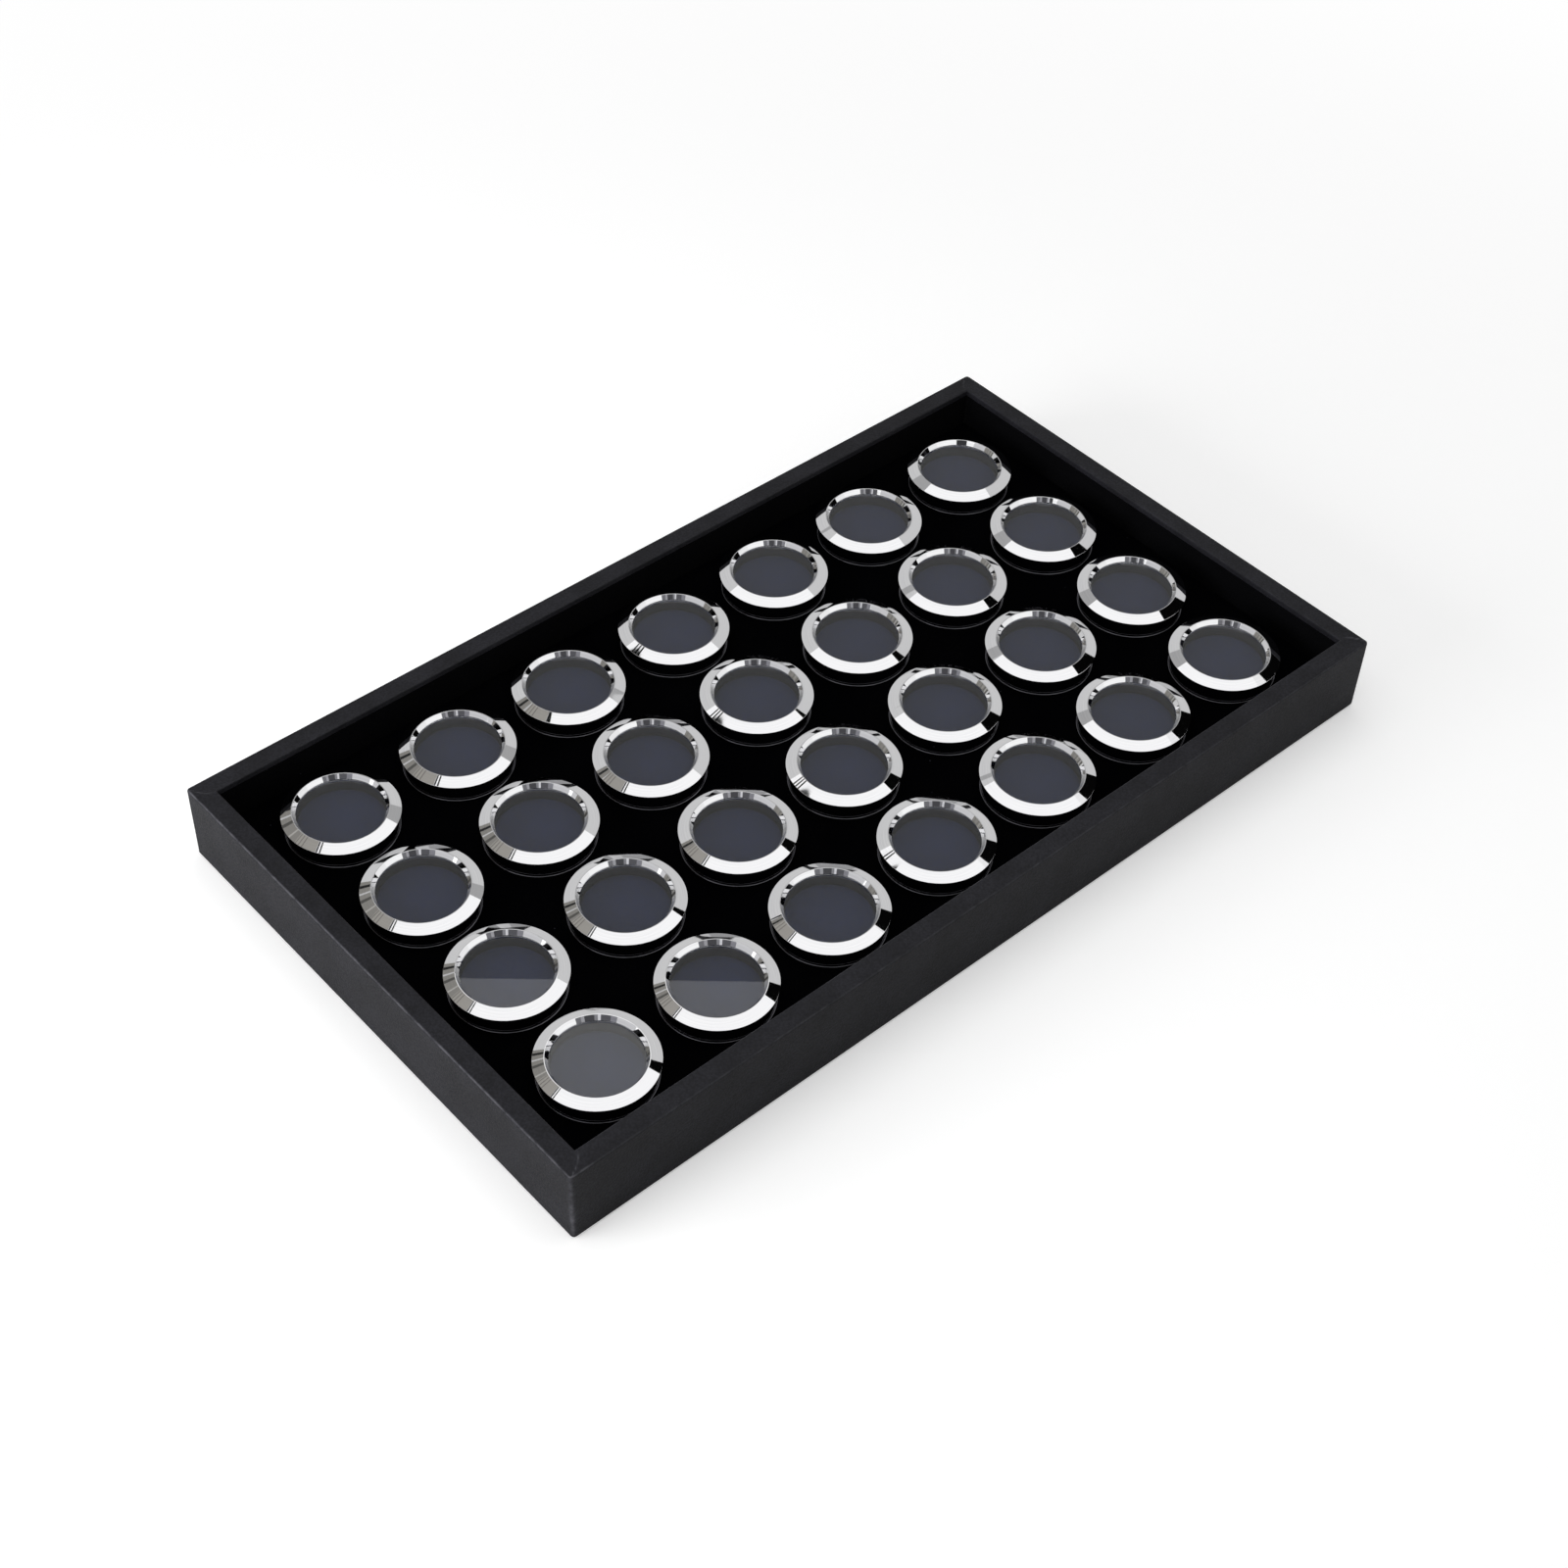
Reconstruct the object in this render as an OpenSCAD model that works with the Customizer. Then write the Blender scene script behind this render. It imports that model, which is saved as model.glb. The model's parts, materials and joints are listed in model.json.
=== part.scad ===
// Coin display tray: an open board tray covered in leatherette, with a velvet faced insert that
// holds rows of round metal jars. Each jar is a cup with a foam pad, closed by a lid with a
// bevelled bezel and a glass window. Each jar lifts out of its pocket, and each lid lifts off.
// The origin is the middle of the tray's underside, +X runs along its length and +Z is up.

/* [Fit] */
// Gap between pieces that are glued or pressed together
seam = 0.05; // [0.02:0.01:0.2]

/* [Layout] */
// Number of jars along the tray
columns = 7; // [1:1:7]
// Number of jars across the tray
rows = 4; // [1:1:4]
// Gap between two bezels along the tray
gap_x = 7.96; // [2:0.02:20]
// Gap between two bezels across the tray
gap_y = 5.55; // [2:0.05:20]
// Space between the last bezel and the end wall
margin_x = 9.9; // [2:0.1:40]
// Space between the last bezel and the side wall
margin_y = 7.1; // [2:0.1:40]

/* [Tray] */
// Overall height of the tray
tray_height = 31.6; // [20:0.1:60]
// Thickness of the four wall boards
wall_board = 6; // [3:0.5:12]
// Thickness of the base board
base_board = 4; // [2:0.5:8]
// Thickness of the leatherette
cover = 0.8; // [0.4:0.1:1.1]
// Radius of the covered upright edges
corner_r = 1.2; // [0.9:0.1:3]
// Depth of the leatherette that is turned over the rim to the inside
turn_over = 2.5; // [1.5:0.1:6]
// Width of the leatherette that is folded under the tray
turn_under = 12; // [8:1:20]
// Thickness of the sheet under the tray
base_sheet = 1.2; // [0.6:0.1:2]
// How far the sheet under the tray stands below the folded leatherette
sheet_proud = 0.3; // [0.1:0.1:0.5]

/* [Insert] */
// Thickness of the velvet faced card that lines the walls
lining = 0.75; // [0.4:0.05:1]
// Thickness of the foam under the pockets
underlay = 5.3; // [2:0.1:12]
// Depth of the pockets, which is the thickness of the velvet faced layer
pocket_depth = 5.6; // [4:0.1:8]
// Gap between the insert and the covered walls
insert_gap = 0.3; // [0.1:0.1:1]
// Gap all round a cup in its pocket
pocket_gap = 0.4; // [0.2:0.1:1.5]

/* [Jars] */
// Inside diameter of a cup
cup_bore = 31.6; // [20:0.2:50]
// Thickness of a cup's wall and floor
cup_wall = 0.9; // [0.5:0.1:1.5]
// Thickness of the flange that a jar hangs by
flange_thick = 0.6; // [0.4:0.1:0.9]
// How far the flange stands out past the lid's skirt
flange_reach = 0.5; // [0.2:0.1:2]
// Gap between a cup and the floor of its pocket
cup_floor_gap = 0.2; // [0.1:0.1:1]
// Height of a closed jar above the insert
jar_rise = 9.1; // [8:0.1:16]
// Free height for the coin between the pad and the glass
coin_space = 4.2; // [3:0.1:6]
// Gap between a foam pad and the wall of its cup
pad_gap = 0.2; // [0.1:0.1:1]
// Chamfer round the top of a foam pad
pad_chamfer = 0.8; // [0.2:0.1:1.5]

/* [Lids] */
// Gap between a lid's skirt and its cup
lid_gap = 0.3; // [0.1:0.05:0.6]
// Thickness of a lid's skirt
skirt_wall = 2.4; // [0.8:0.1:3]
// Gap between a lid's skirt and the cup's flange
skirt_lift = 0.4; // [0.2:0.1:1]
// How far the bezel stands out past the skirt
bezel_reach = 1.1; // [0.4:0.1:3]
// Height of the bezel's bevel
bevel_rise = 1.7; // [0.6:0.1:3]
// Height of the bezel's upright edge
bezel_edge = 0.6; // [0.4:0.1:1.5]
// Width of the flat rim between the bevel and the window's chamfer
rim_width = 0.3; // [0.2:0.1:1.6]
// Width of the chamfer that leads down to the window
chamfer_width = 1; // [0.4:0.1:2]
// Depth of the chamfer that leads down to the window
chamfer_drop = 1.6; // [0.4:0.1:2.4]
// How far the window's lip stands in past the cup's wall
lip_reach = 0.4; // [0.1:0.1:1]
// Thickness of the lip's edge over the glass
lip_thick = 0.2; // [0.2:0.05:0.6]
// Thickness of the glass
glass_thick = 0.8; // [0.6:0.1:1.2]
// Width of the step that the glass seats under
glass_seat = 0.8; // [0.4:0.1:1]
// Gap between the glass and its seat
glass_gap = 0.1; // [0.05:0.05:0.3]
// Height of the ring that keeps the glass in
clip_height = 0.8; // [0.4:0.1:1]
// Gap that leaves the clip ring's bore wider than the window
clip_set_back = 0.1; // [0:0.1:0.3]

/* [Hidden] */
$fn = 96;
EPS = 0.01;

// Radii of a jar, from its bore outwards.
cup_r = cup_bore / 2;
cup_outer_r = cup_r + cup_wall;
skirt_inner_r = cup_outer_r + lid_gap;
skirt_outer_r = skirt_inner_r + skirt_wall;
flange_r = skirt_outer_r + flange_reach;
bezel_r = skirt_outer_r + bezel_reach;
window_r = cup_r - lip_reach;
rim_r = window_r + chamfer_width;
seat_r = window_r + glass_seat;
pad_r = cup_r - pad_gap;
pocket_r = cup_outer_r + pocket_gap;

// Heights of a jar, above the face of the insert.
lip_top = jar_rise - chamfer_drop;
glass_top = lip_top - lip_thick;
glass_bottom = glass_top - glass_thick;
cup_top = glass_bottom - clip_height;
cup_bottom = cup_floor_gap - pocket_depth;
pad_bottom = cup_bottom + cup_wall;
pad_top = glass_bottom - coin_space;
bevel_bottom = jar_rise - bevel_rise;
skirt_bottom = flange_thick + skirt_lift;

// Plan of the tray.
pitch_x = 2 * bezel_r + gap_x;
pitch_y = 2 * bezel_r + gap_y;
inner_length = (columns - 1) * pitch_x + 2 * (bezel_r + margin_x);
inner_width = (rows - 1) * pitch_y + 2 * (bezel_r + margin_y);
inner_skin = max(cover, lining);
board_inner = [inner_length + 2 * inner_skin, inner_width + 2 * inner_skin];
board_outer = [board_inner.x + 2 * wall_board, board_inner.y + 2 * wall_board];
tray_size = [board_outer.x + 2 * cover, board_outer.y + 2 * cover];
sheet_size = [tray_size.x - 2 * turn_under, tray_size.y - 2 * turn_under];

// Heights of the tray's layers, above the face that it stands on.
cover_bottom = sheet_proud;
board_bottom = max(base_sheet, cover_bottom + cover);
board_top = tray_height - cover;
base_top = board_bottom + base_board;
pocket_floor = base_top + underlay;
insert_top = pocket_floor + pocket_depth;
lining_top = tray_height - turn_over - seam;

ROW_NAMES = ["a", "b", "c", "d"];
PLACES = [for (row = [0 : rows - 1]) for (column = [0 : columns - 1]) [column, row]];

function jar_name(place) = str("jar_", ROW_NAMES[place.y], place.x + 1);
function jar_centre(place) = [
    (place.x - (columns - 1) / 2) * pitch_x,
    (place.y - (rows - 1) / 2) * pitch_y
];

// A flat rectangle about the origin.
module plate(size) {
    square(size, center = true);
}

// A flat rectangle about the origin with round corners.
module round_plate(size, r) {
    plate([size.x - 2 * r, size.y]);
    plate([size.x, size.y - 2 * r]);
    for (side = [-1, 1], end = [-1, 1])
        translate([end * (size.x / 2 - r), side * (size.y / 2 - r)])
            circle(r);
}

// Raises a flat shape into a slab between two heights.
module slab(bottom, top) {
    translate([0, 0, bottom])
        linear_extrude(top - bottom)
            children();
}

// The plan of a wall board with mitred ends, its outer face along the X axis.
module mitred_board(length) {
    half = length / 2 - seam;
    polygon([
        [-half, 0],
        [half, 0],
        [half - wall_board, wall_board],
        [-half + wall_board, wall_board]
    ]);
}

// Puts a jar's piece at its place on the insert.
module at_pocket(place) {
    translate([jar_centre(place).x, jar_centre(place).y, insert_top])
        children();
}

// The four mitred wall boards and the base board between them.
module tray_boards() {
    color("burlywood") {
        slab(board_bottom, board_top)
            for (turn = [0, 180]) {
                rotate(turn)
                    translate([0, -board_outer.y / 2])
                        mitred_board(board_outer.x);
                rotate(turn + 90)
                    translate([0, -board_outer.x / 2])
                        mitred_board(board_outer.y);
            }
        slab(board_bottom, base_top)
            plate([board_inner.x - 2 * seam, board_inner.y - 2 * seam]);
    }
}

// The leatherette: the outer sides, the rim, the edge turned over it and the edge folded under.
module leatherette_cover() {
    color("#26262a")
        difference() {
            slab(cover_bottom, tray_height)
                round_plate(tray_size, corner_r);
            slab(board_bottom, board_top)
                difference() {
                    plate(board_outer);
                    plate(board_inner);
                }
            slab(board_bottom, tray_height - turn_over)
                plate(board_inner);
            slab(board_bottom, tray_height + EPS)
                plate([board_inner.x - 2 * cover, board_inner.y - 2 * cover]);
            slab(cover_bottom - EPS, board_bottom + EPS)
                plate(sheet_size);
        }
}

// The foam underlay, the velvet faced layer with one round pocket for each jar, and the four
// velvet faced strips that line the walls.
module jar_insert() {
    size = [inner_length - 2 * insert_gap, inner_width - 2 * insert_gap];
    color("#050506") {
        slab(base_top, pocket_floor - seam)
            plate(size);
        difference() {
            slab(pocket_floor, insert_top)
                plate(size);
            for (place = PLACES)
                translate([jar_centre(place).x, jar_centre(place).y, pocket_floor - EPS])
                    cylinder(r = pocket_r, h = pocket_depth + 2 * EPS);
        }
        slab(base_top, lining_top)
            for (turn = [0, 180]) {
                rotate(turn)
                    translate([0, (board_inner.y - lining) / 2])
                        plate([board_inner.x, lining]);
                rotate(turn)
                    translate([(board_inner.x - lining) / 2, 0])
                        plate([lining, board_inner.y - 2 * (lining + seam)]);
            }
    }
}

// The sheet that covers the underside inside the folded edge, and that the tray stands on.
module base_sheet() {
    color("#17171a")
        slab(0, board_bottom)
            plate([sheet_size.x - 2 * insert_gap, sheet_size.y - 2 * insert_gap]);
}

// A jar's metal cup with its flange, and the foam pad that lies in it.
module jar_cup() {
    color("silver")
        rotate_extrude()
            polygon([
                [0, cup_bottom],
                [cup_outer_r, cup_bottom],
                [cup_outer_r, 0],
                [flange_r, 0],
                [flange_r, flange_thick],
                [cup_outer_r, flange_thick],
                [cup_outer_r, cup_top],
                [cup_r, cup_top],
                [cup_r, pad_bottom],
                [0, pad_bottom]
            ]);
    color("#3c3e4b")
        rotate_extrude()
            polygon([
                [0, pad_bottom + seam],
                [pad_r, pad_bottom + seam],
                [pad_r, pad_top - pad_chamfer],
                [pad_r - pad_chamfer, pad_top],
                [0, pad_top]
            ]);
}

// A jar's lid: the bevelled bezel with its skirt, the glass, and the ring that keeps the glass in.
module jar_lid() {
    color("silver") {
        rotate_extrude()
            polygon([
                [rim_r, jar_rise],
                [window_r, lip_top],
                [window_r, glass_top],
                [seat_r, glass_top],
                [seat_r, cup_top],
                [skirt_inner_r, cup_top],
                [skirt_inner_r, skirt_bottom],
                [skirt_outer_r, skirt_bottom],
                [skirt_outer_r, bevel_bottom - bezel_edge],
                [bezel_r, bevel_bottom - bezel_edge],
                [bezel_r, bevel_bottom],
                [rim_r + rim_width, jar_rise]
            ]);
        rotate_extrude()
            polygon([
                [window_r + clip_set_back, cup_top],
                [seat_r - seam, cup_top],
                [seat_r - seam, glass_bottom],
                [window_r + clip_set_back, glass_bottom]
            ]);
    }
    color("lightblue", 0.4)
        translate([0, 0, glass_bottom + seam])
            cylinder(r = seat_r - glass_gap, h = glass_thick - 2 * seam);
}

tray_boards();
leatherette_cover();
jar_insert();
base_sheet();
for (place = PLACES) {
    at_pocket(place) jar_cup();
    at_pocket(place) jar_lid();
}
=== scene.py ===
"""Coin display tray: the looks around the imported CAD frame.

A board tray is wrapped in grained leatherette and lined with black velvet. Twenty-eight polished
jars stand in its insert, each a drawn cup with a foam pad and a lid with a bevelled bezel and a
glass window. Every size is in millimetres until a mesh is made, and every place comes from the
frame.
"""

import json
import logging
import math
from collections.abc import Sequence
from dataclasses import dataclass, field
from enum import Enum

import bpy
import numpy as np
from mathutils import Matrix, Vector

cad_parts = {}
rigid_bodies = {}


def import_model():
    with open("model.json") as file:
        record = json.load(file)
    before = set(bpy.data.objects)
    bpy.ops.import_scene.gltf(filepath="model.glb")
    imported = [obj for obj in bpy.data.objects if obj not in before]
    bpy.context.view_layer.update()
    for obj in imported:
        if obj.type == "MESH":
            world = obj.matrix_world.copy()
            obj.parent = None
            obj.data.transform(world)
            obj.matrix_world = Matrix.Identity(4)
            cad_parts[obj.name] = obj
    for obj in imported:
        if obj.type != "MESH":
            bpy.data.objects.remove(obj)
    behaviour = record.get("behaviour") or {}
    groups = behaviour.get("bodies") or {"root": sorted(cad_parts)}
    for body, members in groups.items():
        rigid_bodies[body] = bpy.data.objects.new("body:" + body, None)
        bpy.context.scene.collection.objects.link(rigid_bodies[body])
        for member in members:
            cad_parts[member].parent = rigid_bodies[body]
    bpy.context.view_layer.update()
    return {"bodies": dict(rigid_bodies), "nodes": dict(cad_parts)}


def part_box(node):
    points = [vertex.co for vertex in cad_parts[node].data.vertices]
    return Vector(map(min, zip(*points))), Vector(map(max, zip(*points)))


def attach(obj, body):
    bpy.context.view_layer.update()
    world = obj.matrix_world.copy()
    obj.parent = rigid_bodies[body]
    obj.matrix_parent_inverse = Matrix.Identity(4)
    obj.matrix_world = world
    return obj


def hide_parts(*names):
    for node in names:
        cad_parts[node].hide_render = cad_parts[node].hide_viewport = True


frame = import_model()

MM = 0.001
EPS = 1e-9
log = logging.getLogger("coin_display_tray")

Array = np.ndarray
Spot = tuple[float, float]
Point = tuple[float, float, float]
Material = bpy.types.Material
Node = bpy.types.Node
Socket = bpy.types.NodeSocket
Tree = bpy.types.NodeTree


class Slot(Enum):
    """The record's material slots."""

    BOARD = "tray_board"
    LEATHERETTE = "leatherette"
    VELVET = "insert_velvet"
    FELT = "base_felt"
    CUP_METAL = "jar_metal"
    LID_METAL = "lid_metal"
    GLASS = "window_glass"
    FOAM = "pad_foam"


# ---------------------------------------------------------------- colours and nodes


def linear(code: str) -> tuple[float, float, float, float]:
    """Turns an sRGB hex colour to the linear values that shaders take.

    Args:
        code: The colour as "#rrggbb".

    Returns:
        Red, green and blue in linear light, and an alpha of 1.
    """
    shares = np.array([int(code[i:i + 2], 16) for i in (1, 3, 5)]) / 255
    light = np.where(shares <= 0.04045, shares / 12.92, ((shares + 0.055) / 1.055) ** 2.4)
    return (*light.tolist(), 1.0)


def add(tree: Tree, kind: str, inputs: dict | None = None, **settings: object) -> Node:
    """Adds one shader node with its settings, its values and its links.

    Args:
        tree: The node tree to add to.
        kind: The node's type name without "ShaderNode".
        inputs: Values, hex colours or sockets to link from, by the input's name or number.
        **settings: The node's own attributes.

    Returns:
        The node.
    """
    node = tree.nodes.new("ShaderNode" + kind)
    for name, value in settings.items():
        setattr(node, name, value)
    for key, value in (inputs or {}).items():
        if isinstance(value, Socket):
            tree.links.new(value, node.inputs[key])
        else:
            node.inputs[key].default_value = linear(value) if isinstance(value, str) else value
    return node


def feed(shader: Node, **sockets: Socket) -> None:
    """Links sockets to the shader's inputs, each by the input's name with _ for a space."""
    for name, socket in sockets.items():
        shader.id_data.links.new(socket, shader.inputs[name.replace("_", " ")])


def fresh_tree(owner: Material | bpy.types.World) -> Tree:
    """Returns the owner's node tree with nothing in it."""
    owner.use_nodes = True
    owner.node_tree.nodes.clear()
    return owner.node_tree


def stand(name: str, data: bpy.types.ID) -> bpy.types.Object:
    """Makes an object of the data and puts it in the scene."""
    made = bpy.data.objects.new(name, data)
    bpy.context.scene.collection.objects.link(made)
    return made


def ramp(fac: Socket, low: float, high: float, dark: float = 0.0, light: float = 1.0) -> Socket:
    """Returns fac taken smoothly from dark to light as it goes from low to high."""
    values = {"Value": fac, "From Min": low, "From Max": high, "To Min": dark, "To Max": light}
    node = add(fac.id_data, "MapRange", values, interpolation_type="SMOOTHSTEP")
    return node.outputs["Result"]


def mix(fac: Socket, first: Socket | str, second: Socket | str) -> Socket:
    """Returns the colour that goes from first to second with fac."""
    return add(fac.id_data, "Mix", {0: fac, 6: first, 7: second}, data_type="RGBA").outputs[2]


def combine(operation: str, first: Socket | float, second: Socket | float) -> Socket:
    """Returns the result of one sum on two values, of which one at least is a socket."""
    tree = (first if isinstance(first, Socket) else second).id_data
    return add(tree, "Math", {0: first, 1: second}, operation=operation).outputs[0]


def noise(place: Socket, size: float, detail: float) -> Socket:
    """Returns soft noise whose lumps are about size millimetres across."""
    values = {"Vector": place, "Scale": 1 / (size * MM), "Detail": detail}
    return add(place.id_data, "TexNoise", values).outputs[0]


def start_material(name: str, **values: object) -> tuple[Material, Tree, Node, Socket]:
    """Starts a material with one Principled shader.

    Args:
        name: What the real material is and how its surface was made.
        **values: The shader's values, by input name with _ for a space.

    Returns:
        The material, its tree, the shader node and the Object coordinates.
    """
    material = bpy.data.materials.new(name)
    tree = fresh_tree(material)
    shader = add(tree, "BsdfPrincipled", {k.replace("_", " "): v for k, v in values.items()})
    add(tree, "OutputMaterial", {"Surface": shader.outputs[0]})
    return material, tree, shader, add(tree, "TexCoord").outputs["Object"]


def bump(shader: Node, height: Socket, depth: float) -> None:
    """Gives the shader relief from a height of 0 to 1, depth millimetres deep."""
    node = add(shader.id_data, "Bump", {"Height": height, "Distance": depth * MM, "Strength": 1.0})
    feed(shader, Normal=node.outputs[0])


# ---------------------------------------------------------------- finishes


@dataclass(frozen=True)
class GrainedLeatherette:
    """Polyurethane leatherette, embossed with a fine pebble grain and glued over board.

    The coat is satin, so the grain shows as a soft sparkle, and it rubs pale along the folds;
    the pale along the left side's top fold is also a painted highlight.
    """

    colour: str = "#1d1d21"
    mottle: str = "#242429"
    valley: str = "#0c0c0e"
    # The pale of rubbed folds, also used for the painted highlight along the left side's top fold.
    worn_and_highlight: str = "#77777e"
    grain: float = 0.75  # the real pebbles are about 0.4 mm, drawn coarser so that they show
    depth: float = 0.05
    roughness: float = 0.5
    gloss: float = 0.12

    def build(self) -> Material:
        """Makes the material."""
        material, tree, shader, place = start_material(
            "leatherette_embossed_black", Specular_IOR_Level=self.gloss)
        pebbles = add(tree, "TexVoronoi", {"Vector": place, "Scale": 1 / (self.grain * MM)},
                      feature="SMOOTH_F1").outputs["Distance"]
        clouds = noise(place, 14, 3)
        specks = noise(place, 0.5, 2)
        # The mark read here is rubbing, and along the left side's top fold a painted highlight too.
        wear_and_highlight = add(tree, "Attribute", attribute_name="wear_and_highlight").outputs["Fac"]
        patches = ramp(noise(place, 3.0, 6), 0.3, 0.7, 0.25, 1.0)
        rub_and_highlight = combine("MULTIPLY", wear_and_highlight, patches)
        cloth = mix(ramp(clouds, 0.35, 0.65), self.colour, self.mottle)
        grain_shade = mix(ramp(pebbles, 0.1, 0.75, 0.0, 0.5), cloth, self.valley)
        rough = ramp(specks, 0.3, 0.7, self.roughness - 0.06, self.roughness + 0.08)
        feed(shader, Base_Color=mix(rub_and_highlight, grain_shade, self.worn_and_highlight), Roughness=rough)
        relief = combine("SUBTRACT", 1.0, pebbles)
        height = combine("ADD", relief, combine("MULTIPLY", specks, 0.4))
        bump(shader, height, self.depth)
        return material


@dataclass(frozen=True)
class FlockedVelvet:
    """Flocked velvet: short black pile that swallows light, with stray lint on it."""

    name: str = "velvet_flocked_black"
    colour: str = "#020203"
    nap: str = "#050506"
    lint: str = "#34343a"
    sheen: float = 0.0
    lint_cell: float = 5.0

    def build(self) -> Material:
        """Makes the material."""
        material, tree, shader, place = start_material(
            self.name, Roughness=0.95, Specular_IOR_Level=0.0, Sheen_Weight=self.sheen,
            Sheen_Roughness=0.5)
        pile = noise(place, 0.45, 3)
        brushed = noise(place, 22, 2)
        cells = add(tree, "TexVoronoi", {"Vector": place, "Scale": 1 / (self.lint_cell * MM)})
        chance = add(tree, "SeparateColor", {"Color": cells.outputs["Color"]}).outputs["Red"]
        chosen = ramp(chance, 0.86, 0.9)
        speck = ramp(cells.outputs["Distance"], 0.035, 0.06, 1.0, 0.0)
        dots = combine("MULTIPLY", chosen, speck)
        stroked = ramp(brushed, 0.35, 0.65, 0.4, 1.0)
        raised = combine("MULTIPLY", ramp(pile, 0.3, 0.7), stroked)
        cloth = mix(raised, self.colour, self.nap)
        feed(shader, Base_Color=mix(dots, cloth, self.lint))
        bump(shader, pile, 0.12)
        return material


@dataclass(frozen=True)
class PolishedSteel:
    """Stainless steel, spun and buffed to a mirror, so it takes its look from what it mirrors.

    Fine buffing lines run round each jar, and only show as a slight change in the gloss.
    """

    name: str
    colour: str = "#ebebec"
    lines: str = "#e2e2e4"
    roughness: float = 0.02
    spread: float = 0.025

    def build(self) -> Material:
        """Makes the material."""
        material, tree, shader, _ = start_material(self.name, Metallic=1.0)
        around = add(tree, "UVMap", uv_map="UVMap").outputs[0]
        stretched = add(tree, "Mapping", {"Vector": around, "Scale": (6.0, 9.0, 1.0)}).outputs[0]
        values = {"Vector": stretched, "Scale": 1.0, "Detail": 4.0}
        streaks = add(tree, "TexNoise", values).outputs[0]
        shade = mix(ramp(streaks, 0.35, 0.65), self.colour, self.lines)
        rough = ramp(streaks, 0.3, 0.7, self.roughness, self.roughness + self.spread)
        feed(shader, Base_Color=shade, Roughness=rough)
        return material


@dataclass(frozen=True)
class WindowGlass:
    """Clear float glass with polished faces. It lets the lamps through to what lies under it."""

    colour: str = "#fdfeff"
    ior: float = 1.5

    def build(self) -> Material:
        """Makes the material."""
        material, tree, shader, place = start_material(
            "glass_clear_float", Base_Color=self.colour, IOR=self.ior, Transmission_Weight=1.0)
        feed(shader, Roughness=ramp(noise(place, 9, 4), 0.35, 0.75, 0.0, 0.012))
        clear = add(tree, "BsdfTransparent")
        lamp = add(tree, "LightPath").outputs["Is Shadow Ray"]
        both = add(tree, "MixShader", {0: lamp, 1: shader.outputs[0], 2: clear.outputs[0]})
        output = next(n for n in tree.nodes if n.type == "OUTPUT_MATERIAL")
        feed(output, Surface=both.outputs[0])
        return material


@dataclass(frozen=True)
class CellFoam:
    """Die-cut closed-cell foam with a matt skin full of tiny pores."""

    name: str
    colour: str
    pore: str
    cell: float = 0.7
    depth: float = 0.06
    sheen: float = 0.0

    def build(self) -> Material:
        """Makes the material."""
        material, tree, shader, place = start_material(
            self.name, Roughness=0.9, Specular_IOR_Level=0.2, Sheen_Weight=self.sheen)
        cells = add(tree, "TexVoronoi", {"Vector": place, "Scale": 1 / (self.cell * MM)})
        pores = cells.outputs["Distance"]
        clouds = noise(place, 5, 3)
        shade = combine("ADD", pores, combine("MULTIPLY", clouds, 0.3))
        feed(shader, Base_Color=mix(ramp(shade, 0.2, 0.7), self.pore, self.colour))
        bump(shader, pores, self.depth)
        return material


@dataclass(frozen=True)
class Felt:
    """Needled felt: matted fibres with no weave."""

    name: str = "felt_needled_black"
    colour: str = "#131316"
    fibre: str = "#26262b"
    length: float = 1.1

    def build(self) -> Material:
        """Makes the material."""
        material, tree, shader, place = start_material(
            self.name, Roughness=0.97, Specular_IOR_Level=0.1, Sheen_Weight=0.08)
        long_way = add(tree, "Mapping", {"Vector": place, "Scale": (1.0, 3.2, 1.0)}).outputs[0]
        values = {"Vector": long_way, "Scale": 1 / (self.length * MM), "Detail": 6.0,
                  "Distortion": 1.6}
        fibres = add(tree, "TexNoise", values).outputs[0]
        feed(shader, Base_Color=mix(ramp(fibres, 0.4, 0.65), self.colour, self.fibre))
        bump(shader, fibres, 0.2)
        return material


@dataclass(frozen=True)
class GreyBoard:
    """Grey bookbinder's board: pressed waste paper with flecks of fibre in it."""

    colour: str = "#8c877e"
    fleck: str = "#6b655c"
    sheet: float = 3.2

    def build(self) -> Material:
        """Makes the material."""
        material, tree, shader, place = start_material("greyboard_pressed", Roughness=0.9)
        flecks = noise(place, 1.4, 6)
        values = {"Vector": place, "Scale": 1 / (self.sheet * MM), "Distortion": 3.0}
        sheets = add(tree, "TexWave", values, bands_direction="Z").outputs["Fac"]
        shade = combine("ADD", flecks, combine("MULTIPLY", sheets, 0.12))
        feed(shader, Base_Color=mix(ramp(shade, 0.4, 0.75), self.fleck, self.colour))
        bump(shader, flecks, 0.06)
        return material


# ---------------------------------------------------------------- shapes


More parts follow.
